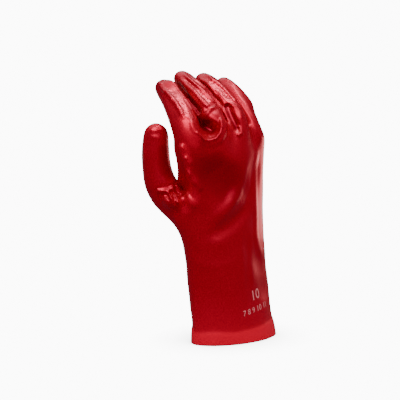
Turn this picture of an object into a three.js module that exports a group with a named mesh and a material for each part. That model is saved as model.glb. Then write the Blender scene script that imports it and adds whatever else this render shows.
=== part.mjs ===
// A dipped rubber gauntlet glove for chemical work, right hand, standing on the cut edge of its cuff.
// The coating and its cotton base are one hollow wall, so the glove is one closed body, open at the cuff.
// Sizes are in millimetres. +X is the little-finger side, +Y the palm side and +Z towards the fingers.
// The origin is the middle of the cuff's mouth, on the plane that the glove stands on.
import * as THREE from "three";

const WALL = 1.6;
const HEEL_TO_CROTCH_RINGS = 27; // rings of the cuff and palm, from the cut edge to the finger crotches
const RING_CROWDING = 0.35; // how much closer the rings lie at the hem and the knuckles than at the wrist
const BACK_STEPS = 5; // steps across the back of each finger, and as many across its palm side
const FINGERS_WIDE = 4;
const EDGE_STEPS = 22; // steps of a body ring over the back, from the thumb edge to the little-finger edge
const FINGER_RINGS = 11;
const FINGER_SIDES = 2 * BACK_STEPS + 4;
const THUMB_RINGS = 9;
const CAP_ANGLES = [28, 54, 76]; // rings of a rounded tip, in degrees from its base
const KNUCKLE_FADE = 30; // how far below the crotches the valleys between the fingers reach

// The cuff and palm: each row is an oval section. lean is its tilt towards the palm, in degrees.
// back and front are the depths behind and before the centre; an edge under 1 is full, over 1 is creased.
const BODY = table(
  ["z", "x", "y", "lean", "halfWidth", "back", "front", "thumbEdge", "outerEdge"],
  [
    [0, 0, 0, 0, 59.5, 31, 40, 1.25, 1.15],
    [10, -0.5, 1, 0, 58.5, 31, 39, 1.25, 1.1],
    [22, -1, 2.5, 0, 56, 30, 37, 1.25, 1.05],
    [50, -3, 6, 2, 55.5, 32, 36, 1.2, 1],
    [80, -5, 10, 3, 55, 33.5, 35, 1.2, 0.97],
    [115, -7, 13, 1, 55.5, 32.5, 34, 1.15, 0.95],
    [150, -9, 14, 0, 57.5, 30, 33, 1.1, 0.92],
    [185, -11, 13, 1, 59.5, 28, 31, 1, 0.9],
    [218, -12.5, 12, 6, 60.8, 28, 29, 0.9, 0.88],
    [245, -12.5, 12, 18, 62, 26, 26, 0.88, 0.88],
  ],
);

// The fingers: where each leaves the palm, across, out of and along its end plane, then its course.
// Each bend is the lean towards the palm at the root, the middle and the tip, in degrees.
// root is the half width where it leaves the palm, and share its width beyond, of the common taper.
const FINGERS = table(
  ["name", "across", "out", "along", "splay", "rootBend", "midBend", "tipBend", "length", "root", "share"],
  [
    ["index", -45, 2, 2, 5.5, 33, 51, 61, 80, 18, 1.05],
    ["middle", -11.5, -4, 7, 0.8, 33, 51, 64, 86, 16.2, 1],
    ["ring", 19.5, -6, 5, -0.4, 33, 51, 67, 84, 16, 1],
    ["little", 47, -4, -1, 1, 31, 50, 66, 84, 13.6, 0.88],
  ],
);

// How every finger thins from its root to its tip; at is the share of its length.
const FINGER_TAPER = table(
  ["at", "halfWidth", "halfDepth"],
  [
    [0, 16, 20],
    [0.2, 15.4, 17.5],
    [0.45, 14.7, 15],
    [0.7, 13.8, 13.4],
    [0.88, 12.7, 12],
    [1, 11.4, 10.4],
  ],
);
const ROOT_REACH = 0.25; // the share of a finger's length over which its root width fades into the taper
const FINGER_EDGE = 0.96;

// The thumb: sections along its course, from the palm to the tip.
const THUMB = table(
  ["at", "x", "y", "z", "halfWidth", "halfDepth"],
  [
    [0, -50, 34, 150, 26, 23],
    [0.2, -63, 44, 165, 23, 20.5],
    [0.4, -70.5, 52, 184, 19.5, 18],
    [0.6, -73.5, 57, 206, 17.2, 16.5],
    [0.8, -74, 58, 227, 16.5, 15.5],
    [1, -73.5, 58, 244, 15.2, 14],
  ],
);
const THUMB_NAIL_SIDE = new THREE.Vector3(-0.75, -0.66, 0);
const THUMB_EDGE = 0.92;
const THUMB_HOLE = { ring: 14, rings: 5, column: -3, columns: 4 };

// Folds and swellings of the soft wall, each along a line between two points; a negative height goes inward.
// The reach is how far to either side of its line the fold fades out.
const FOLDS = table(
  ["x", "y", "z", "toX", "toY", "toZ", "reach", "height"],
  [
    [-42, -9, 250, -46, 6, 260, 12, -3],
    [-33, -14, 210, -30, -15, 196, 28, -3],
    [47, 1, 254, 47, 11, 268, 20, -4.5],
    [38, -6, 230, 22, -15, 202, 16, -2],
    [22, -15, 202, 8, -17, 175, 17, -2],
    [-6, -17, 174, -36, -14, 152, 17, 2.2],
    [4, -18, 168, -48, -10, 132, 17, -2.2],
    [-36, -18, 124, -30, -18, 118, 16, 2.5],
    [24, -18, 96, 30, -16, 60, 20, -2.5],
    [-30, -16, 84, -22, -20, 40, 22, 2],
    [-14, 38, 214, -12, 40, 190, 34, -5],
    [-46, 36, 176, -40, 40, 160, 26, 3],
    [18, 44, 128, -34, 42, 142, 16, -3],
    [16, 46, 100, 10, 42, 40, 24, -3],
  ],
);

// Turns rows of numbers into objects with the named columns.
function table(columns, rows) {
  return rows.map((row) => Object.fromEntries(columns.map((name, i) => [name, row[i]])));
}

// Reads a table smoothly between its rows, where the column key has the given value.
function read(rows, key, value) {
  const last = rows.length - 2;
  const i = Math.min(last, Math.max(0, rows.findLastIndex((row) => row[key] <= value)));
  const gap = rows[i + 1][key] - rows[i][key];
  const t = (value - rows[i][key]) / gap;
  const slope = (n, name) => {
    const a = rows[Math.max(0, n - 1)];
    const b = rows[Math.min(rows.length - 1, n + 1)];
    return ((b[name] - a[name]) / (b[key] - a[key])) * gap;
  };
  const result = {};
  for (const name of Object.keys(rows[i])) {
    if (typeof rows[i][name] !== "number") continue;
    const h = [2 * t ** 3 - 3 * t ** 2 + 1, t ** 3 - 2 * t ** 2 + t, 3 * t ** 2 - 2 * t ** 3, t ** 3 - t ** 2];
    result[name] =
      h[0] * rows[i][name] + h[1] * slope(i, name) + h[2] * rows[i + 1][name] + h[3] * slope(i + 1, name);
  }
  return result;
}

const radians = THREE.MathUtils.degToRad;
const mix = THREE.MathUtils.lerp;

// The glove's outer skin, built up as points and four-sided patches.
const points = [];
const patches = [];
const addPoint = (p) => points.push(p.clone()) - 1;

// Steps n points over a half oval of equal arc lengths, from the thumb edge to the outer edge.
function halfOval(halfWidth, depth, thumbEdge, outerEdge, steps) {
  const fine = 400;
  const at = (i) => {
    const angle = Math.PI * (1 - i / fine);
    const edge = mix(thumbEdge, outerEdge, (Math.cos(angle) + 1) / 2);
    return new THREE.Vector2(halfWidth * Math.cos(angle), depth * Math.sin(angle) ** edge);
  };
  const curve = [at(0)];
  const lengths = [0];
  for (let i = 1; i <= fine; i++) {
    curve.push(i === fine ? new THREE.Vector2(halfWidth, 0) : at(i));
    lengths.push(lengths[i - 1] + curve[i].distanceTo(curve[i - 1]));
  }
  return Array.from({ length: steps + 1 }, (_, k) => {
    const i = lengths.findIndex((length) => length >= (lengths[fine] * k) / steps - 1e-9);
    return curve[i];
  });
}

// One ring of the body in its own plane: over the back to the outer edge, and home over the palm.
function bodyOutline({ halfWidth, back, front, thumbEdge, outerEdge }) {
  const over = halfOval(halfWidth, back, thumbEdge, outerEdge, EDGE_STEPS);
  const under = halfOval(halfWidth, front, thumbEdge, outerEdge, EDGE_STEPS);
  return [
    ...over.map((p) => new THREE.Vector3(p.x, -p.y, 0)),
    ...under.slice(1, -1).reverse().map((p) => new THREE.Vector3(p.x, p.y, 0)),
  ];
}
const RING = 2 * EDGE_STEPS;

// A section's own frame: x across, y towards the palm and z along the hand.
function sectionFrame({ x, y, z, lean }) {
  return new THREE.Matrix4().makeRotationX(-radians(lean)).setPosition(x, y, z);
}

// The course of a finger as frames: its place, its tangent, and the directions across and out of its back.
function fingerCourse(finger, palmEnd) {
  const fine = 60;
  const place = new THREE.Vector3(finger.across, finger.out, finger.along).applyMatrix4(palmEnd);
  const bends = table(["at", "bend"], [[0, finger.rootBend], [0.5, finger.midBend], [1, finger.tipBend]]);
  const frames = [];
  for (let i = 0; i <= fine; i++) {
    const bend = radians(read(bends, "at", i / fine).bend);
    const splay = radians(finger.splay);
    const tangent = new THREE.Vector3(
      Math.sin(splay),
      Math.cos(splay) * Math.sin(bend),
      Math.cos(splay) * Math.cos(bend),
    );
    const across = new THREE.Vector3(1, 0, 0).addScaledVector(tangent, -tangent.x).normalize();
    frames.push({ place: place.clone(), tangent, across, back: across.clone().cross(tangent) });
    place.addScaledVector(tangent, finger.length / fine);
  }
  return (at) => frames[Math.round(at * fine)];
}

// The course of the thumb, in the same form.
function thumbCourse() {
  return (at) => {
    const spot = read(THUMB, "at", at);
    const a = read(THUMB, "at", Math.max(0, at - 0.02));
    const b = read(THUMB, "at", Math.min(1, at + 0.02));
    const tangent = new THREE.Vector3(b.x - a.x, b.y - a.y, b.z - a.z).normalize();
    const back = THUMB_NAIL_SIDE.clone().addScaledVector(tangent, -THUMB_NAIL_SIDE.dot(tangent)).normalize();
    const place = new THREE.Vector3(spot.x, spot.y, spot.z);
    return { place, tangent, across: tangent.clone().cross(back), back };
  };
}

// A digit's ring: points round its course, the first on its thumb side, going over its back.
function digitRing(frame, halfWidth, halfDepth, edge, sides, turn = 0) {
  return Array.from({ length: sides }, (_, i) => {
    const angle = Math.PI - (2 * Math.PI * i) / sides + turn;
    const height = Math.sign(Math.sin(angle)) * Math.abs(Math.sin(angle)) ** edge;
    return frame.place
      .clone()
      .addScaledVector(frame.across, halfWidth * Math.cos(angle))
      .addScaledVector(frame.back, halfDepth * height);
  });
}

// Joins two rings of the same count with patches, facing out.
function join(lower, upper) {
  lower.forEach((_, i) => {
    const next = (i + 1) % lower.length;
    patches.push([lower[i], lower[next], upper[next], upper[i]]);
  });
}

// Grows a digit from a ring of points already there, and closes it with a rounded tip.
function growDigit(root, course, sizeAt, edge, rings, turn) {
  const sides = root.length;
  let lower = root;
  for (let r = 1; r <= rings; r++) {
    const at = r / rings;
    const { halfWidth, halfDepth } = sizeAt(at);
    const upper = digitRing(course(at), halfWidth, halfDepth, edge, sides, turn).map(addPoint);
    join(lower, upper);
    lower = upper;
  }
  const end = course(1);
  const { halfWidth, halfDepth } = sizeAt(1);
  const dome = (halfWidth + halfDepth) / 2;
  for (const degrees of CAP_ANGLES) {
    const share = Math.cos(radians(degrees));
    const frame = { ...end, place: end.place.clone().addScaledVector(end.tangent, dome * Math.sin(radians(degrees))) };
    const upper = digitRing(frame, halfWidth * share, halfDepth * share, edge, sides, turn).map(addPoint);
    join(lower, upper);
    lower = upper;
  }
  const tip = addPoint(end.place.clone().addScaledVector(end.tangent, dome));
  lower.forEach((_, i) => patches.push([lower[i], lower[(i + 1) % sides], tip]));
}

// The body's top ring is where the four fingers part: neighbours share the points of the crotch.
const palmEnd = sectionFrame(BODY.at(-1));
const fingers = FINGERS.map((finger) => {
  const course = fingerCourse(finger, palmEnd);
  const { root, share } = finger;
  const sizeAt = (at) => {
    const { halfWidth, halfDepth } = read(FINGER_TAPER, "at", at);
    const nearRoot = Math.max(0, 1 - at / ROOT_REACH) ** 2;
    return { halfWidth: mix(halfWidth * share, root, nearRoot), halfDepth: halfDepth * share };
  };
  const { halfWidth, halfDepth } = sizeAt(0);
  return { course, sizeAt, ring: digitRing(course(0), halfWidth, halfDepth, FINGER_EDGE, FINGER_SIDES) };
});

// Which of the crotch ring's points each finger's root ring takes; the webs between fingers have one point each.
const webs = Array.from({ length: FINGERS_WIDE - 1 }, () => []);
const crotchSums = Array.from({ length: RING }, () => []);
const rootNames = fingers.map(({ ring }, f) => {
  const start = 1 + f * BACK_STEPS;
  const names = [];
  names.push(f === 0 ? 0 : { web: f - 1 });
  for (let i = 0; i <= BACK_STEPS; i++) names.push(start + i);
  names.push(f === FINGERS_WIDE - 1 ? EDGE_STEPS : { web: f });
  for (let i = BACK_STEPS; i >= 0; i--) names.push(RING - start - i);
  names.forEach((name, i) => (typeof name === "number" ? crotchSums[name] : webs[name.web]).push(ring[i]));
  return names;
});
const average = (list) =>
  list.reduce((sum, p) => sum.add(p), new THREE.Vector3()).divideScalar(list.length);
const crotchRing = crotchSums.map(average);

// The rings of the cuff and palm, each an oval that takes on the fingers' valleys near the crotches.
const toPalmEnd = palmEnd.clone().invert();
const crotchShape = crotchRing.map((p) => p.clone().applyMatrix4(toPalmEnd));
const height = BODY.at(-1).z;
const rings = [];
for (let r = 0; r < HEEL_TO_CROTCH_RINGS; r++) {
  const t = r / (HEEL_TO_CROTCH_RINGS - 1);
  const z = height * (t - (RING_CROWDING * Math.sin(2 * Math.PI * t)) / (2 * Math.PI));
  const section = read(BODY, "z", z);
  const near = Math.max(0, 1 - (height - z) / KNUCKLE_FADE);
  const fade = near * near * (3 - 2 * near);
  const frame = sectionFrame(section);
  const outline = bodyOutline(section);
  rings.push(outline.map((p, k) => addPoint(p.lerp(crotchShape[k], fade).applyMatrix4(frame))));
}

// The thumb leaves through a block of the body's patches.
const column = (k) => (k + RING) % RING;
const inHole = (r, k) => {
  const across = column(k - THUMB_HOLE.column);
  return r >= THUMB_HOLE.ring && r < THUMB_HOLE.ring + THUMB_HOLE.rings && across < THUMB_HOLE.columns;
};
for (let r = 0; r + 1 < rings.length; r++)
  for (let k = 0; k < RING; k++)
    if (!inHole(r, k)) {
      const next = column(k + 1);
      patches.push([rings[r][k], rings[r][next], rings[r + 1][next], rings[r + 1][k]]);
    }

// The four fingers.
const webPoints = webs.map((list) => addPoint(average(list)));
const topRing = rings.at(-1);
fingers.forEach(({ course, sizeAt }, f) => {
  const root = rootNames[f].map((name) => (typeof name === "number" ? topRing[name] : webPoints[name.web]));
  growDigit(root, course, sizeAt, FINGER_EDGE, FINGER_RINGS, 0);
});

// The thumb grows from the hole's rim, taken round in the order of its own rings.
const { ring: low, rings: tall, column: left, columns: wide } = THUMB_HOLE;
const holeRim = [];
for (let k = 0; k < wide; k++) holeRim.push(rings[low][column(left + k)]);
for (let r = 0; r < tall; r++) holeRim.push(rings[low + r][column(left + wide)]);
for (let k = wide; k > 0; k--) holeRim.push(rings[low + tall][column(left + k)]);
for (let r = tall; r > 0; r--) holeRim.push(rings[low + r][column(left)]);
const course = thumbCourse();
const thumbRoot = course(0);
const arm = points[holeRim[0]].clone().sub(thumbRoot.place);
const turn = Math.atan2(arm.dot(thumbRoot.back), arm.dot(thumbRoot.across)) - Math.PI;
growDigit(holeRim, course, (at) => read(THUMB, "at", at), THUMB_EDGE, THUMB_RINGS, turn);

// Evens out the skin round the thumb's root and in the crotches, as the soft wall does by itself.
const neighbours = points.map(() => new Set());
for (const patch of patches)
  patch.forEach((a, i) => {
    const b = patch[(i + 1) % patch.length];
    neighbours[a].add(b);
    neighbours[b].add(a);
  });
function relax(seeds, hops, rounds) {
  const weights = new Map(seeds.map((p) => [p, 1]));
  let front = seeds;
  for (let hop = 1; hop <= hops; hop++) {
    const next = [];
    for (const p of front)
      for (const q of neighbours[p])
        if (!weights.has(q)) {
          weights.set(q, 1 - hop / (hops + 1));
          next.push(q);
        }
    front = next;
  }
  for (let round = 0; round < rounds; round++) {
    const moved = [...weights].map(([p, weight]) => {
      const middle = average([...neighbours[p]].map((q) => points[q]));
      return [p, points[p].clone().lerp(middle, 0.6 * weight)];
    });
    moved.forEach(([p, place]) => points[p].copy(place));
  }
}
relax(holeRim, 3, 8);
relax(webPoints, 2, 2);
relax(topRing, 1, 2);

// The outward direction of the skin at each point.
function directions() {
  const normals = points.map(() => new THREE.Vector3());
  for (const patch of patches) {
    const corners = patch.map((p) => points[p]);
    const middle = average(corners);
    patch.forEach((p, i) => {
      const a = corners[i].clone().sub(middle);
      const b = corners[(i + 1) % patch.length].clone().sub(middle);
      const area = a.cross(b);
      normals[p].add(area);
      normals[patch[(i + 1) % patch.length]].add(area);
    });
  }
  return normals.map((n) => n.normalize());
}

// Presses the folds into the skin.
const lines = FOLDS.map(({ x, y, z, toX, toY, toZ }) =>
  new THREE.Line3(new THREE.Vector3(x, y, z), new THREE.Vector3(toX, toY, toZ)));
directions().forEach((out, p) => {
  let depth = 0;
  FOLDS.forEach(({ reach, height }, i) => {
    const nearest = lines[i].closestPointToPoint(points[p], true, new THREE.Vector3());
    const away = nearest.distanceTo(points[p]) / reach;
    if (away < 1) depth += height * (1 - away * away) ** 2;
  });
  points[p].addScaledVector(out, depth);
});

// The wall: the outer skin, an inner skin one wall inside it, and the cut edge that joins them at the cuff.
const cutEdge = new Set(rings[0]);
const skin = points.length;
directions().forEach((out, p) => {
  if (cutEdge.has(p)) out.setZ(0).normalize();
  points.push(points[p].clone().addScaledVector(out, -WALL));
});
const triangles = [];
const addPatch = ([a, b, c, d]) => {
  if (d === undefined) triangles.push(a, b, c);
  else if (points[a].distanceTo(points[c]) < points[b].distanceTo(points[d])) triangles.push(a, b, c, a, c, d);
  else triangles.push(a, b, d, b, c, d);
};
for (const patch of patches) {
  addPatch(patch);
  addPatch(patch.map((p) => p + skin).reverse());
}
rings[0].forEach((p, k) => {
  const next = rings[0][column(k + 1)];
  addPatch([next, p, p + skin, next + skin]);
});

const geometry = new THREE.BufferGeometry();
geometry.setAttribute("position", new THREE.Float32BufferAttribute(points.flatMap((p) => p.toArray()), 3));
geometry.setIndex(triangles);
geometry.computeVertexNormals();

const redCoating = new THREE.MeshStandardMaterial({ color: 0xb30812, roughness: 0.28, metalness: 0 });
const shell = new THREE.Mesh(geometry, redCoating);
shell.name = "glove_shell";

const glove = new THREE.Group();
glove.add(shell);

export default glove;
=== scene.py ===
"""Looks of a dipped gauntlet glove that stands on its cuff.

Its skin is a glossy red rubber coating on a knitted cotton base.
"""

import math

import bmesh
import bpy
import numpy as np
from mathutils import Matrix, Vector, noise
from mathutils.bvhtree import BVHTree
from mathutils.kdtree import KDTree


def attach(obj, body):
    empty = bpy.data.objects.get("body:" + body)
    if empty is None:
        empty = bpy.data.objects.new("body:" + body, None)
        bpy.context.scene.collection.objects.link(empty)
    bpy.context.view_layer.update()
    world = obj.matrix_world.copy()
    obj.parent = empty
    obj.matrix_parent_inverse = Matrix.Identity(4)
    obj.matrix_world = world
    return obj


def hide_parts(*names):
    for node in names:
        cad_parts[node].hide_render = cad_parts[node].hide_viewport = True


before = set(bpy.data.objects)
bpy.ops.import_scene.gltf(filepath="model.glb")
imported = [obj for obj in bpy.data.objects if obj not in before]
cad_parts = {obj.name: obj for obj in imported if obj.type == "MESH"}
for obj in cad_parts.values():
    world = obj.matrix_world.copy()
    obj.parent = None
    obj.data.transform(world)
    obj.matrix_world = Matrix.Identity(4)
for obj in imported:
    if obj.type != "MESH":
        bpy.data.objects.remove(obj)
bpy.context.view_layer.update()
MM = 0.001

# The camera stands as the photograph's does, a little above the wrist and to the thumb's side of the back.
# A long lens keeps the cuff's cut edge as level as the photograph shows it.
PHOTO_PIXELS = 400
CAMERA_AZIMUTH = math.radians(-36)
CAMERA_RISE = math.radians(8)
CAMERA_DISTANCE = 1.8
AIM = Vector((-0.0201, 0.0431, 0.164))
camera_data = bpy.data.cameras.new("studio_camera")
camera_data.lens = 135
camera_data.sensor_width = 36
camera = bpy.data.objects.new("studio_camera", camera_data)
bpy.context.scene.collection.objects.link(camera)
bpy.context.scene.camera = camera
towards_camera = Vector((
    math.sin(CAMERA_AZIMUTH) * math.cos(CAMERA_RISE),
    -math.cos(CAMERA_AZIMUTH) * math.cos(CAMERA_RISE),
    math.sin(CAMERA_RISE),
))
camera.location = AIM + CAMERA_DISTANCE * towards_camera
camera.rotation_euler = (-towards_camera).to_track_quat("-Z", "Y").to_euler()
camera_right = Vector((math.cos(CAMERA_AZIMUTH), math.sin(CAMERA_AZIMUTH), 0))
camera_up = towards_camera.cross(camera_right)

# The glove's skin, dipped over a form in one piece and slipped off: its coating and its base are one soft
# wall. It starts from the frame's outer skin, turned to four-sided faces and rounded, and gets its wall at
# the end.
WALL = 1.6 * MM
POINT_GAP = 0.01 * MM
RIM_HEIGHT = 0.02 * MM
# Two triangles are joined where they turn less than this from each other.
JOINED_TURN = math.radians(60)
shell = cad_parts["glove_shell"]
outer = bmesh.new()
outer.from_mesh(shell.data)
bmesh.ops.remove_doubles(outer, verts=outer.verts, dist=POINT_GAP)
cut_edge = [f for f in outer.faces if all(v.co.z < RIM_HEIGHT for v in f.verts)]
bmesh.ops.delete(outer, geom=cut_edge, context="FACES")


def island(start):
    """Returns the faces joined to a face."""
    found, waiting = {start}, [start]
    while waiting:
        for edge in waiting.pop().edges:
            for face in edge.link_faces:
                if face not in found:
                    found.add(face)
                    waiting.append(face)
    return found


widest = max(outer.faces, key=lambda f: f.calc_center_median().x)
outside = island(widest)
bmesh.ops.delete(outer, geom=[f for f in outer.faces if f not in outside], context="FACES")
bmesh.ops.join_triangles(
    outer, faces=outer.faces, angle_face_threshold=JOINED_TURN, angle_shape_threshold=JOINED_TURN
)
for face in outer.faces:
    face.smooth = True
cage = bpy.data.meshes.new("glove_cage")
outer.to_mesh(cage)
outer.free()
rounded = bpy.data.objects.new("glove_cage", cage)
bpy.context.scene.collection.objects.link(rounded)
rounding = rounded.modifiers.new("rounding", "SUBSURF")


def rounded_mesh(levels):
    """Rounds the cage with a number of subdivisions; every number's points lie on one smooth surface."""
    rounding.levels = rounding.render_levels = levels
    bpy.context.view_layer.update()
    return bpy.data.meshes.new_from_object(rounded.evaluated_get(bpy.context.evaluated_depsgraph_get()))


# The cuff's and the fingers' far sides stay coarse, the rest is finer, and the fingers' backs and the
# thumb's web are finest.
HEM_ZONE = 28 * MM
PALM_HEIGHTS = (118 * MM, 216 * MM)
WEB_HEIGHTS = (145 * MM, 195 * MM)
WEB_RIGHT = -38 * MM
KNUCKLE_HEIGHT = 212 * MM
CREASED_FACING = 0.25
finest = rounded_mesh(3)
smooth_places = KDTree(len(finest.vertices))
for vertex in finest.vertices:
    smooth_places.insert(vertex.co, vertex.index)
smooth_places.balance()
skin_mesh = rounded_mesh(1)
skin_mesh.name = "glove_skin"
bpy.data.objects.remove(rounded)


def is_fine(face):
    """Tells the palm, the hem and the whole side that the photograph shows."""
    height = face.calc_center_median().z
    is_palm = PALM_HEIGHTS[0] < height < PALM_HEIGHTS[1]
    return is_palm or height < HEM_ZONE or face.normal.dot(towards_camera) > 0


def is_creased(face):
    """Tells the faces on which the photograph shows fine folds."""
    place = face.calc_center_median()
    is_web = place.x < WEB_RIGHT and WEB_HEIGHTS[0] < place.z < WEB_HEIGHTS[1]
    return (place.z > KNUCKLE_HEIGHT or is_web) and face.normal.dot(towards_camera) > CREASED_FACING


for chosen in (is_fine, is_creased):
    shape = bmesh.new()
    shape.from_mesh(skin_mesh)
    shape.normal_update()
    edges = {edge for face in shape.faces if chosen(face) for edge in face.edges}
    added = bmesh.ops.subdivide_edges(shape, edges=list(edges), cuts=1, use_grid_fill=True)
    for vertex in added["geom_inner"]:
        if isinstance(vertex, bmesh.types.BMVert):
            vertex.co = smooth_places.find(vertex.co)[0]
    for face in shape.faces:
        face.smooth = True
    shape.to_mesh(skin_mesh)
    shape.free()
bpy.data.meshes.remove(finest)


def read_skin():
    """Reads the skin's points and outward directions, in metres."""
    count = len(skin_mesh.vertices)
    points = np.empty(count * 3)
    outward = np.empty(count * 3)
    skin_mesh.vertices.foreach_get("co", points)
    skin_mesh.vertices.foreach_get("normal", outward)
    return points.reshape(-1, 3), outward.reshape(-1, 3)


def write_skin(points):
    """Moves the skin's points, with the cut edge kept level on the ground."""
    points[cut_edge_points, 2] = 0
    skin_mesh.vertices.foreach_set("co", points.ravel())
    skin_mesh.update()


points, outward = read_skin()
cut_edge_points = np.nonzero(points[:, 2] < RIM_HEIGHT)[0]


def skin_tree():
    """Builds the search tree that finds places on the skin."""
    corners = [v.co for v in skin_mesh.vertices]
    return BVHTree.FromPolygons(corners, [tuple(p.vertices) for p in skin_mesh.polygons])


tree = skin_tree()
# How far beside a pixel the skin is looked for, in pixels, and the turn between two looks, in degrees.
SEARCHED_PIXELS = 6
SEARCH_TURN = 45


def seen_at(px, py):
    """Finds the skin's point that shows at a pixel of the photograph, or else just inside the outline."""
    pixel = camera_data.sensor_width / (camera_data.lens * PHOTO_PIXELS)
    for aside in range(SEARCHED_PIXELS):
        for turn in range(0, 360, SEARCH_TURN):
            right = (px - PHOTO_PIXELS / 2 + aside * math.cos(math.radians(turn))) * pixel
            down = (py - PHOTO_PIXELS / 2 + aside * math.sin(math.radians(turn))) * pixel
            ray = camera_right * right - camera_up * down - towards_camera
            place = tree.ray_cast(camera.location, ray.normalized())[0]
            if place is not None:
                return place
    raise ValueError(f"no skin at pixel {px}, {py}")


def palm_at(x, z):
    """Finds the palm side's point at a place across and a height, in millimetres."""
    return tree.ray_cast(Vector((x * MM, 1, z * MM)), Vector((0, -1, 0)))[0]


def near_route(points, route, reach):
    """Tells how near the points lie to a route, and how far they are from its nearer end.

    The nearness goes from 1 on the route to 0 at its reach, and the distance is in reaches.
    """
    nearest = np.full(len(points), np.inf)
    along = np.zeros(len(points))
    route = [np.array(p) for p in route]
    gone = 0
    for a, b in zip(route, route[1:]):
        step = b - a
        length = np.linalg.norm(step)
        share = np.clip((points - a) @ step / length**2, 0, 1)
        away = np.linalg.norm(points - (a + share[:, None] * step), axis=1)
        nearer = away < nearest
        nearest[nearer] = away[nearer]
        along[nearer] = (gone + share * length)[nearer]
        gone += length
    near = np.clip(1 - (nearest / (reach * MM)) ** 2, 0, 1)
    from_end = np.minimum(along, gone - along) / (reach * MM)
    return near, from_end


# How much of a fold's height is left at its very ends.
END_SHARE = 0.3


def press(points, outward, route, reach, height):
    """Raises the skin along a route, or presses it in where the height is negative.

    Reach and height are in millimetres.
    """
    near, from_end = near_route(points, route, reach)
    ends = np.clip(END_SHARE + (1 - END_SHARE) * from_end, 0, 1)
    points += outward * (near**2 * ends * height * MM)[:, None]


def pull(points, place, reach, right, up):
    """Draws the skin near a place to the right and up in the photograph, all in millimetres."""
    near = np.clip(1 - (np.linalg.norm(points - np.array(place), axis=1) / (reach * MM)) ** 2, 0, 1) ** 2
    points += near[:, None] * np.array(camera_right * right + camera_up * up) * MM


def push(points, route, reach, depth):
    """Pushes the skin along a route straight away from the camera.

    Where the depth is negative it comes towards the camera. Reach and depth are in millimetres.
    """
    near = near_route(points, route, reach)[0] ** 2
    points -= near[:, None] * np.array(towards_camera) * depth * MM


# The index fingertip's corner stands higher than the frame has it, and the middle finger's knuckle lower:
# the pixel, the reach, and how far to the right and up, all three in millimetres.
SEEN_PULLS = [
    ((170, 84), 16, 1.5, 3.5),
    ((212, 108), 12, -0.5, -2),
]
# The broad shapes that the photograph shows, each along the pixels where it shows: how far it reaches to
# either side and how high it stands or how deep it goes, both in millimetres.
SEEN_SHAPES = [
    # index finger: its full thumb side and its flat back
    ([(163, 100), (169, 114), (175, 132)], 9, 1.4),
    ([(168, 84), (177, 97), (186, 111)], 6, -0.9),
    # middle finger: the side that falls away into the valley, and its flat back
    ([(176, 83), (183, 92), (190, 101), (197, 111)], 7, -3),
    ([(187, 81), (198, 90), (209, 102)], 6, -0.8),
    # the fold that hangs round the bowl where the index and middle fingers part
    ([(195, 135), (203, 141), (212, 143), (219, 140), (224, 130), (223, 119)], 7, 2.8),
    # ring finger: the crevice on its thumb side, its flat back and the ridge beside its hollow
    ([(202, 83), (209, 91), (215, 98), (222, 107)], 5, -3.4),
    ([(210, 80), (220, 88), (231, 100)], 6, -0.8),
    ([(234, 100), (240, 108), (243, 117)], 6, 1.2),
    # little finger: a flat side between its two edges
    ([(241, 91), (250, 102), (257, 116), (261, 130)], 9, -1.5),
    # back of the hand: the two hollows behind the knuckles, the swelling on the thumb's side, the slanting
    # ridge with the valley below it, and the hollow towards the wrist
    ([(210, 154), (216, 170), (224, 186)], 26, -6),
    ([(238, 160), (236, 178)], 16, -2),
    ([(192, 174), (195, 188)], 10, 2.4),
    ([(238, 193), (228, 208), (214, 220)], 11, 3.2),
    ([(246, 208), (232, 224), (214, 235)], 11, -3.4),
    ([(205, 205), (199, 222)], 16, -2),
    # thumb: the hollow below its tip, and the swelling beside its web
    ([(152, 132), (162, 134)], 7, -0.7),
    ([(186, 190), (190, 206)], 8, 1.6),
    # gauntlet: soft bumps, a dimple, and long hollows and swellings down its length
    ([(220, 234), (221, 250)], 14, 0.7),
    ([(192, 252), (203, 254)], 11, -1.1),
    ([(205, 268), (214, 320)], 26, -1),
    ([(240, 262), (244, 318)], 22, 0.9),
    ([(206, 241), (221, 243)], 9, 0.5),
    ([(196, 263), (214, 267), (234, 262)], 8, 0.7),
    ([(247, 238), (249, 290)], 9, -0.8),
]
# The hollows that go deep enough to shade themselves, and what stands out so far that it overhangs: the
# pixels, the reach and the depth in millimetres.
SEEN_HOLLOWS = [
    # the valley between the index and middle fingers, the bowl at its end, and the ring finger's hollow
    ([(187, 98), (193, 105), (199, 111)], 6, 6),
    ([(206, 127), (211, 129)], 12, 12),
    ([(228, 107), (232, 117), (237, 128)], 7, 4.4),
    # the back of the hand, behind the knuckles
    ([(205, 168), (216, 176), (228, 184)], 28, 3),
    # the web of the thumb, which stands out as a shelf
    ([(169, 202), (178, 201)], 11.5, -8.5),
    # the knobs along the index finger's side
    ([(181, 149), (184, 158)], 7, -4.5),
    ([(186, 164), (189, 169)], 6, -3.6),
    ([(189, 175), (192, 181)], 7, -4),
    ([(186, 196), (192, 203)], 9, -3.6),
]
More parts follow.
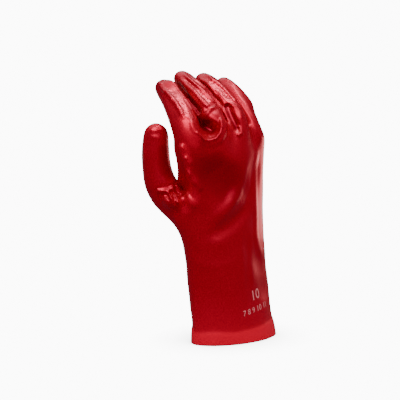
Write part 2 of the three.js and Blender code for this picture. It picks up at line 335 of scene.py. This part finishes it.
# The folds on top of them, in the same form as the broad shapes.
SEEN_FOLDS = [
    # index finger: the two ridges that bound its flat back, the bump at its tip, and the edge of the bowl
    ([(164, 90), (168, 94), (172, 99), (176, 104), (180, 110), (183, 117)], 4, 1.5),
    ([(171, 79), (177, 87), (181, 93), (187, 101), (192, 109), (197, 117)], 4, 1.3),
    ([(158, 83), (161, 87), (166, 93)], 3.5, 1.4),
    ([(191, 120), (193, 128), (197, 135)], 4.5, 2),
    # middle finger: its two ridges with a groove, its far edge, and the fold that wraps its knuckle
    ([(181, 80), (186, 85), (191, 89), (196, 94), (201, 100), (206, 105), (211, 108)], 4, 1.6),
    ([(184, 74), (190, 80), (196, 85), (201, 89), (206, 93), (211, 99), (215, 104)], 3.5, 1.3),
    ([(187, 80), (193, 85), (200, 90)], 3, -1.1),
    ([(195, 79), (205, 88), (213, 97), (220, 106), (226, 114), (231, 124)], 3.5, 1.1),
    ([(216, 107), (211, 109), (207, 114), (205, 121)], 3.5, 1.4),
    # the groove inside the fold that hangs round the bowl
    ([(207, 136), (215, 137)], 2.5, -0.9),
    # ring finger: its ridges, and the knuckle fold that turns down beside the hollow
    ([(200, 79), (206, 83), (211, 88), (215, 94), (219, 101)], 3.5, 1.3),
    ([(206, 74), (213, 80), (220, 84), (226, 90), (232, 97), (236, 103)], 4, 1.5),
    ([(230, 104), (236, 107), (240, 113), (242, 121)], 4, 1.4),
    # little finger: its two edges
    ([(236, 100), (241, 104), (247, 112), (252, 121), (258, 132), (262, 140)], 3, 0.4),
    ([(223, 80), (230, 81), (236, 86)], 4, 0.9),
    # back of the hand: fine wrinkles, the long crease to the wrist, and a low fold at the wrist
    ([(193, 153), (202, 154)], 3, 0.5),
    ([(195, 157), (204, 158)], 3, 0.5),
    ([(255, 156), (251, 170), (248, 188), (242, 203), (231, 216)], 6, 0.4),
    ([(218, 226), (204, 230)], 5, 0.6),
    # gauntlet: the crease that runs down its little-finger side
    ([(257, 152), (255, 165), (254, 182), (255, 200),
      (256, 218), (256, 235), (258, 247), (262, 257)], 7, 1.1),
    # the index finger's side: small folds below its knobs
    ([(173, 150), (177, 158)], 6, 1),
    ([(188, 190), (190, 203)], 5, 1.3),
    # thumb: a fold below its tip, its outer edge, and the small folds of the web and below it
    ([(150, 137), (158, 138)], 4, 0.6),
    ([(145, 134), (144, 146), (145, 160)], 3.5, 0.9),
    ([(169, 184), (175, 181)], 3, 0.9),
    ([(166, 193), (170, 201)], 4, -1.2),
    ([(170, 207), (175, 217), (179, 227)], 4, 0.9),
]
# The thin folds that stand out towards the camera, and so shine along their tops, in the same form.
SEEN_LIPS = [
    # the fold that hangs round the bowl, and the lip inside it
    ([(197, 133), (203, 138), (210, 140), (216, 138), (220, 133), (222, 126), (221, 120)], 3.3, 3.4),
    ([(208, 133), (216, 134)], 2.5, 1.4),
    # the hook below the ring finger's hollow
    ([(239, 127), (241, 130), (242, 133), (239, 135)], 3, 2),
    # the knobs along the index finger's side
    ([(182, 146), (184, 150)], 4, 2.2),
    ([(187, 159), (190, 163)], 5, 3.4),
    ([(187, 171), (190, 175)], 5, 3.4),
    ([(197, 184), (200, 188)], 6, 1.8),
    # the index finger's two ridges, and the corner of its tip
    ([(161, 83), (166, 91), (172, 99)], 2.4, 1.3),
    ([(170, 79), (177, 88), (184, 98)], 2.4, 1.3),
    ([(158, 83), (161, 84)], 3, 1.2),
    # the ring finger's outer ridge
    ([(213, 80), (222, 87), (232, 98)], 2.4, 1.1),
    # the thumb's tip
    ([(145, 128), (150, 124), (157, 124), (163, 129)], 3.5, 1.1),
    # the web: the fold across it and those that fan out below
    ([(158, 191), (163, 191), (168, 191), (173, 187), (180, 181)], 3.4, 3.4),
    ([(168, 192), (171, 198), (175, 206)], 3.4, 4.4),
    ([(173, 189), (176, 196), (178, 203)], 2.8, 2.8),
    ([(177, 186), (181, 193)], 2.6, 2.2),
]
# The folds of the palm side, between places across and heights in millimetres.
PALM_FOLDS = [
    # the palm's two long creases and the one round the ball of the thumb
    ([(-44, 216), (-18, 222), (8, 221), (32, 224)], 7, -2.4),
    ([(-40, 202), (-16, 208), (10, 200), (30, 188)], 8, -2),
    ([(-26, 204), (-20, 184), (-24, 164), (-36, 150)], 9, -2.4),
    # the pads between them
    ([(-34, 190), (-38, 170)], 14, 2),
    ([(24, 200), (28, 172)], 14, 2.2),
    ([(-30, 212), (20, 211)], 7, 1.4),
    # small slanting folds between the pads
    ([(-8, 196), (4, 178)], 6, -1.2),
    ([(6, 190), (14, 168)], 6, 1),
    # the wrist's folds
    ([(-44, 132), (-16, 138), (14, 134), (34, 138)], 8, -1.6),
    ([(-42, 122), (-12, 126), (18, 122)], 7, 1.2),
    ([(-20, 148), (6, 145), (30, 150)], 7, 1),
    # long soft folds down the gauntlet
    ([(-22, 112), (-26, 40)], 14, -0.9),
    ([(14, 100), (20, 34)], 14, 0.9),
]
for pixel, reach, right, up in SEEN_PULLS:
    pull(points, seen_at(*pixel), reach, right, up)
for pixels, reach, height in SEEN_SHAPES:
    press(points, outward, [seen_at(*p) for p in pixels], reach, height)
for pixels, reach, depth in SEEN_HOLLOWS:
    push(points, [seen_at(*p) for p in pixels], reach, depth)
for places, reach, height in PALM_FOLDS:
    press(points, outward, [palm_at(*p) for p in places], reach, height)

# Broad soft lumps all over, as a soft wall never stands quite true.
LUMP_SIZE = 26 * MM
LUMP_HEIGHT = 0.7 * MM
lumps = np.array([noise.noise(Vector(p) / LUMP_SIZE) for p in points])
points += outward * (lumps * LUMP_HEIGHT)[:, None]

# The hem: the last of the cuff stands out as a smooth band. Its top edge follows the photograph's, and is
# level on the palm side.
HEM_TOP = [(195, 332), (215, 332), (236, 332), (250, 329), (262, 325), (271, 319)]
PALM_HEM_TOP = 18 * MM
PALM_FACING = 0.2
HEM_SLOPE = 4 * MM
HEM_STEP = 0.7 * MM
hem_edge = [seen_at(*p) for p in HEM_TOP]
hem_top = np.interp(points[:, 0], [p.x for p in hem_edge], [p.z for p in hem_edge])
hem_top = np.where(outward[:, 1] > PALM_FACING, PALM_HEM_TOP, hem_top)
band = np.clip((hem_top - points[:, 2]) / HEM_SLOPE + 0.5, 0, 1)
points += outward * (band * HEM_STEP)[:, None]
write_skin(points)
points, outward = read_skin()
tree = skin_tree()
for pixels, reach, height in SEEN_FOLDS:
    press(points, outward, [seen_at(*p) for p in pixels], reach, height)
for pixels, reach, height in SEEN_LIPS:
    push(points, [seen_at(*p) for p in pixels], reach, -height)

# Where the coating is crinkled: on the backs of the fingers, the thumb's tip and most of all its web.
CRINKLE_SIZE = 5 * MM
CRINKLE_HEIGHT = 0.5 * MM
CRINKLED = [
    ([(168, 92), (178, 104), (188, 116)], 9),
    ([(188, 80), (199, 91), (211, 104)], 8),
    ([(208, 78), (220, 90), (231, 102)], 9),
    ([(162, 191), (172, 190), (174, 203)], 11),
    ([(150, 126), (160, 130)], 9),
]
crinkled = np.zeros(len(points))
for pixels, reach in CRINKLED:
    crinkled = np.maximum(crinkled, near_route(points, [seen_at(*p) for p in pixels], reach)[0])
crinkles = np.array([noise.noise(Vector(p) / CRINKLE_SIZE) for p in points])
points += outward * (crinkles * crinkled * CRINKLE_HEIGHT)[:, None]

# The web's puckers fan out upwards from its lower middle.
WEB_ROUTE = [(172, 188), (177, 190), (174, 204)]
WEB_REACH = 8
FAN_FOOT = (173, 208)
PUCKERS_IN_A_RADIAN = 5
PUCKER_LENGTH = 12 * MM
PUCKER_HEIGHT = 1.1 * MM
web = near_route(points, [seen_at(*p) for p in WEB_ROUTE], WEB_REACH)[0]
from_fan = points - np.array(seen_at(*FAN_FOOT))
fan_right = from_fan @ np.array(camera_right)
fan_up = from_fan @ np.array(camera_up)
fan_turn = np.arctan2(fan_right, fan_up) * PUCKERS_IN_A_RADIAN
fan_reach = np.hypot(fan_right, fan_up) / PUCKER_LENGTH
puckers = np.array([noise.noise(Vector((turn, reach, 0))) for turn, reach in zip(fan_turn, fan_reach)])
points += outward * (puckers * web * PUCKER_HEIGHT)[:, None]
write_skin(points)

# Painted shade and painted highlights: the coating's red is deepened in the hollows, where shade falls,
# and brightened as painted highlights over a knuckle, the knobs, a swelling and the thumb's tip. It is also
# paler towards the hem: the pixels, the reach and how much, up to 1.
PAINTED_SHADE_ROUTES = [
    ([(188, 98), (199, 112)], 8, 0.5),
    ([(204, 123), (209, 128)], 13, 1),
    ([(228, 107), (232, 117), (237, 128)], 7, 0.8),
    ([(206, 170), (216, 177), (227, 184)], 30, 0.5),
    ([(164, 150), (166, 172)], 9, 0.5),
]
# The painted highlights, in the same form.
PAINTED_HIGHLIGHT_ROUTES = [
    ([(184, 120), (190, 132), (195, 140)], 10, 0.4),
    ([(183, 146), (188, 163), (188, 176)], 7, 0.35),
    ([(190, 180), (192, 198), (186, 206)], 11, 0.4),
    ([(145, 126), (160, 126)], 7, 0.3),
]
CUFF_FADE_TOP = 70 * MM
CUFF_FADE_LENGTH = 40 * MM
CUFF_LIGHTER = 0.25
# Painted shade deepens the red along the first table's routes; painted highlights and the lower cuff pale
# it.
painted_shade = np.zeros(len(points))
for pixels, reach, amount in PAINTED_SHADE_ROUTES:
    painted_shade = np.maximum(painted_shade, near_route(points, [seen_at(*p) for p in pixels], reach)[0] * amount)
lower_cuff_and_painted_highlights = np.clip((CUFF_FADE_TOP - points[:, 2]) / CUFF_FADE_LENGTH, 0, 1) * CUFF_LIGHTER
for pixels, reach, amount in PAINTED_HIGHLIGHT_ROUTES:
    lower_cuff_and_painted_highlights = np.maximum(lower_cuff_and_painted_highlights, near_route(points, [seen_at(*p) for p in pixels], reach)[0] * amount)
for name, values in (("crinkled", crinkled), ("light", np.maximum(band, lower_cuff_and_painted_highlights)), ("painted_shade", painted_shade)):
    layer = skin_mesh.attributes.new(name, "FLOAT", "POINT")
    layer.data.foreach_set("value", values)

# The coating: deep red plasticised rubber, glossy, with a faint orange peel, and with fine creases where it
# is crinkled. It is a paler red along the hem and under the painted highlights, and a deeper one under
# the painted shade in the hollows.
COATING_RED = (0.4, 0.003, 0.014, 1)
LIGHT_RED = (0.9, 0, 0.03, 1)
# The red of the painted shade in the hollows.
PAINTED_SHADE_RED = (0.12, 0, 0.003, 1)
GLOSS_RED = (1, 0.02, 0.08, 1)
SMOOTH_ROUGHNESS = 0.32
CRINKLED_ROUGHNESS = 0.17
PEEL_WAVES = 900
PEEL_STRENGTH = 0.06
PEEL_DEPTH = 0.3 * MM
CREASE_WAVES = 300
CREASE_STRENGTH = 0.38
CREASE_DEPTH = 1.2 * MM


def new_material(name):
    """Makes a material, and returns it with its network of nodes and its shader."""
    material = bpy.data.materials.new(name)
    material.use_nodes = True
    return material, material.node_tree, material.node_tree.nodes["Principled BSDF"]


def set_or_join(network, value, socket):
    """Sets a socket to a number or a colour, or joins it to another node's output."""
    if isinstance(value, bpy.types.NodeSocket):
        network.links.new(value, socket)
    else:
        socket.default_value = value


def texture(network, scale, detail, stretch=(1, 1, 1)):
    """Adds a noise texture over the object's own coordinates; its scale is in waves to the metre."""
    place = network.nodes.new("ShaderNodeTexCoord")
    spread = network.nodes.new("ShaderNodeMapping")
    spread.inputs["Scale"].default_value = stretch
    network.links.new(place.outputs["Object"], spread.inputs["Vector"])
    pattern = network.nodes.new("ShaderNodeTexNoise")
    pattern.inputs["Scale"].default_value = scale
    pattern.inputs["Detail"].default_value = detail
    network.links.new(spread.outputs["Vector"], pattern.inputs["Vector"])
    return pattern.outputs["Fac"]


def ramp(network, value, low, high, first, second):
    """Maps a value between two limits to a number between two others."""
    scaled = network.nodes.new("ShaderNodeMapRange")
    scaled.inputs["From Min"].default_value = low
    scaled.inputs["From Max"].default_value = high
    scaled.inputs["To Min"].default_value = first
    scaled.inputs["To Max"].default_value = second
    network.links.new(value, scaled.inputs["Value"])
    return scaled.outputs["Result"]


def mixed(network, share, first, second, kind="RGBA"):
    """Mixes two colours, or two numbers, by a share from 0 for the first to 1 for the second."""
    mixing = network.nodes.new("ShaderNodeMix")
    mixing.data_type = kind
    network.links.new(share, mixing.inputs["Factor"])
    set_or_join(network, first, mixing.inputs["A"])
    set_or_join(network, second, mixing.inputs["B"])
    return mixing.outputs["Result"]


def painted(network, name):
    """Reads one of the skin's painted values."""
    layer = network.nodes.new("ShaderNodeAttribute")
    layer.attribute_name = name
    return layer.outputs["Fac"]


def bump(network, height, strength, distance, below=None):
    """Adds fine relief over what lies below it; its distance is in metres."""
    relief = network.nodes.new("ShaderNodeBump")
    set_or_join(network, strength, relief.inputs["Strength"])
    relief.inputs["Distance"].default_value = distance
    network.links.new(height, relief.inputs["Height"])
    if below is not None:
        network.links.new(below, relief.inputs["Normal"])
    return relief.outputs["Normal"]


coating, coat, coat_shader = new_material("red_coating")
coat_shader.inputs["IOR"].default_value = 1.8
coat_shader.inputs["Specular IOR Level"].default_value = 1
coat_shader.inputs["Specular Tint"].default_value = GLOSS_RED
# The coating's colour: paler along the hem and under painted highlights, deeper under painted shade.
lightened = mixed(coat, painted(coat, "light"), COATING_RED, LIGHT_RED)
coloured = mixed(coat, painted(coat, "painted_shade"), lightened, PAINTED_SHADE_RED)
coat.links.new(coloured, coat_shader.inputs["Base Color"])
roughness = ramp(coat, painted(coat, "crinkled"), 0, 1, SMOOTH_ROUGHNESS, CRINKLED_ROUGHNESS)
coat.links.new(roughness, coat_shader.inputs["Roughness"])
peel = bump(coat, texture(coat, PEEL_WAVES, 1), PEEL_STRENGTH, PEEL_DEPTH)
crease_strength = ramp(coat, painted(coat, "crinkled"), 0, 1, 0, CREASE_STRENGTH)
creases = bump(coat, texture(coat, CREASE_WAVES, 3), crease_strength, CREASE_DEPTH, peel)
coat.links.new(creases, coat_shader.inputs["Normal"])

# The cotton base, which shows only inside the cuff and on its cut edge: knitted, with ribs that run along
# the arm. The coating is dipped over it, so it lies under the coating everywhere.
COTTON = (0.72, 0.6, 0.56, 1)
RIB_WAVES = 700
RIB_STRENGTH = 0.6
RIB_DEPTH = 0.6 * MM
ALONG_THE_ARM = (1, 1, 0.15)
cotton, knit, knit_shader = new_material("cotton_base")
knit_shader.inputs["Base Color"].default_value = COTTON
knit_shader.inputs["Roughness"].default_value = 0.9
ribs = bump(knit, texture(knit, RIB_WAVES, 2, ALONG_THE_ARM), RIB_STRENGTH, RIB_DEPTH)
knit.links.new(ribs, knit_shader.inputs["Normal"])

skin_mesh.materials.clear()
skin_mesh.materials.append(coating)
skin_mesh.materials.append(cotton)
glove = bpy.data.objects.new("glove_skin", skin_mesh)
bpy.context.scene.collection.objects.link(glove)
wall = glove.modifiers.new("wall", "SOLIDIFY")
wall.thickness = WALL
wall.offset = -1
wall.use_rim = True
wall.material_offset = 1
wall.material_offset_rim = 1
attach(glove, "root")
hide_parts("glove_shell")

# The size print: plain numbers in pale ink, low on the back of the gauntlet. The ink is a thin layer that
# lies on the coating and follows it.
PRINT_MIDDLE = (256, 304)
PRINT_TILT = math.radians(9)
INK_LIFT = 0.15 * MM
INK_EDGE = 0.8 * MM
PALE_INK = (0.95, 0.24, 0.26, 1)
tree = skin_tree()
print_middle = seen_at(*PRINT_MIDDLE)
print_outward = tree.find_nearest(print_middle)[1]
print_right = Vector((0, 0, 1)).cross(print_outward).normalized()
print_up = print_outward.cross(print_right)
ink, _, ink_shader = new_material("pale_ink")
ink_shader.inputs["Base Color"].default_value = PALE_INK
ink_shader.inputs["Roughness"].default_value = 0.5
# The rows: what each says, how high it is and how far above the middle it stands, in millimetres.
PRINT_ROWS = [
    ("10", 17, 11),
    ("7 8 9 10 11", 9.5, -6),
]
for number, (text, size, above) in enumerate(PRINT_ROWS):
    writing = bpy.data.curves.new("writing", "FONT")
    writing.body = text
    writing.size = size * MM
    writing.align_x = "CENTER"
    writing.align_y = "CENTER"
    written = bpy.data.objects.new("writing", writing)
    bpy.context.scene.collection.objects.link(written)
    bpy.context.view_layer.update()
    evaluated = written.evaluated_get(bpy.context.evaluated_depsgraph_get())
    ink_mesh = bpy.data.meshes.new_from_object(evaluated)
    bpy.data.objects.remove(written)
    figures = bmesh.new()
    figures.from_mesh(ink_mesh)
    bmesh.ops.triangulate(figures, faces=figures.faces)
    for _ in range(2):
        long_edges = [e for e in figures.edges if e.calc_length() > INK_EDGE]
        bmesh.ops.subdivide_edges(figures, edges=long_edges, cuts=1)
        bmesh.ops.triangulate(figures, faces=figures.faces)
    for vertex in figures.verts:
        across = vertex.co.x * math.cos(PRINT_TILT) - vertex.co.y * math.sin(PRINT_TILT)
        along = vertex.co.x * math.sin(PRINT_TILT) + vertex.co.y * math.cos(PRINT_TILT) + above * MM
        flat = print_middle + across * print_right + along * print_up
        on_skin, normal = tree.find_nearest(flat)[:2]
        vertex.co = on_skin + normal * INK_LIFT
    figures.to_mesh(ink_mesh)
    figures.free()
    ink_mesh.materials.clear()
    ink_mesh.materials.append(ink)
    printed = bpy.data.objects.new(f"size_print_{number + 1}", ink_mesh)
    bpy.context.scene.collection.objects.link(printed)
    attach(printed, "root")

# A plain white floor under the glove, which isn't part of it. It is dark in reflections, as a far floor is,
# and its glow to the eye is dimmed round the cuff by ambient occlusion: a painted shadow.
FLOOR_REACH = 6
FLOOR_GREY = (0.45, 0.45, 0.45, 1)
FLOOR_IN_GLOSS = (0.03, 0.03, 0.03, 1)
SHADE_REACH = 60 * MM
FULL_SHADE = 0.4
SHADE_GLOW = 3
WHITE_GLOW = 11
floor_mesh = bpy.data.meshes.new("floor")
floor_shape = bmesh.new()
bmesh.ops.create_grid(floor_shape, x_segments=1, y_segments=1, size=FLOOR_REACH)
floor_shape.to_mesh(floor_mesh)
floor_shape.free()
floor = bpy.data.objects.new("floor", floor_mesh)
bpy.context.scene.collection.objects.link(floor)
floor_paint, paint, paint_shader = new_material("floor_paint")
paint_shader.inputs["Roughness"].default_value = 0.9
ray = paint.nodes.new("ShaderNodeLightPath")
floor_tint = mixed(paint, ray.outputs["Is Glossy Ray"], FLOOR_GREY, FLOOR_IN_GLOSS)
paint.links.new(floor_tint, paint_shader.inputs["Base Color"])
# A painted shadow: the floor's glow dims where the glove is near.
near_glove = paint.nodes.new("ShaderNodeAmbientOcclusion")
near_glove.inputs["Distance"].default_value = SHADE_REACH
floor_glow = paint.nodes.new("ShaderNodeEmission")
glow_strength = ramp(paint, near_glove.outputs["AO"], FULL_SHADE, 1, SHADE_GLOW, WHITE_GLOW)
paint.links.new(glow_strength, floor_glow.inputs["Strength"])
floor_seen = paint.nodes.new("ShaderNodeMixShader")
paint.links.new(ray.outputs["Is Camera Ray"], floor_seen.inputs["Fac"])
paint.links.new(paint_shader.outputs["BSDF"], floor_seen.inputs[1])
paint.links.new(floor_glow.outputs["Emission"], floor_seen.inputs[2])
paint.links.new(floor_seen.outputs["Shader"], paint.nodes["Material Output"].inputs["Surface"])
floor_mesh.materials.append(floor_paint)

# Soft studio light: white all round, but dark in reflections, where only the panels show.
SKY_LIGHT = 0.7
SKY_IN_GLOSS = 0.03
world = bpy.data.worlds.new("studio")
bpy.context.scene.world = world
world.use_nodes = True
sky = world.node_tree
sky_ray = sky.nodes.new("ShaderNodeLightPath")
sky_light = ramp(sky, sky_ray.outputs["Is Glossy Ray"], 0, 1, SKY_LIGHT, SKY_IN_GLOSS)
sky_seen = mixed(sky, sky_ray.outputs["Is Camera Ray"], sky_light, WHITE_GLOW, "FLOAT")
sky.nodes["Background"].inputs["Color"].default_value = (1, 1, 1, 1)
sky.links.new(sky_seen, sky.nodes["Background"].inputs["Strength"])


def panel_light(name, place, aim, size, power, colour=(1, 1, 1), lights_up=False):
    """Hangs a soft panel of light and turns it to a point.

    Its size is its width and height in metres. One that doesn't light up only shows in the gloss.
    """
    data = bpy.data.lights.new(name, "AREA")
    data.color = colour
    data.shape = "RECTANGLE"
    data.size, data.size_y = size
    data.energy = power
    lamp = bpy.data.objects.new(name, data)
    lamp.location = place
    lamp.rotation_euler = (Vector(aim) - Vector(place)).to_track_quat("-Z", "Y").to_euler()
    lamp.visible_diffuse = lights_up
    lamp.visible_glossy = not lights_up
    lamp.visible_camera = False
    bpy.context.scene.collection.objects.link(lamp)


SALMON = (1, 0.58, 0.53)
PALE_SALMON = (1, 0.7, 0.65)
panel_light("key", (-0.35, -0.55, 1.2), aim=(0, 0.03, 0.2), size=(0.8, 0.8), power=8, lights_up=True)
panel_light("overhead_gloss", (0.1, 0.45, 1.25), aim=(0.1, 0.46, 0), size=(1.4, 1.8), power=15)
panel_light("zenith_gloss", (0.12, 0.07, 1.2), aim=(0.12, 0.08, 0), size=(0.24, 0.38), power=4.8)
panel_light(
    "side_gloss", (0.42, 0.07, 0.147), aim=(0, 0.07, 0.147), size=(0.28, 0.136), power=0.6, colour=SALMON
)
panel_light("front_gloss", (-0.5, -0.65, 1.1), aim=(0, 0, 0.2), size=(0.6, 0.4), power=3.2)
panel_light("thumb_side_gloss", (-0.62, -0.1, 1.15), aim=(0, 0, 0.2), size=(0.5, 0.5), power=8.5)
panel_light(
    "back_gloss", (-0.14, 0.95, 0.12), aim=(-0.08, 0.05, 0.22), size=(0.06, 0.16), power=0.1,
    colour=PALE_SALMON,
)
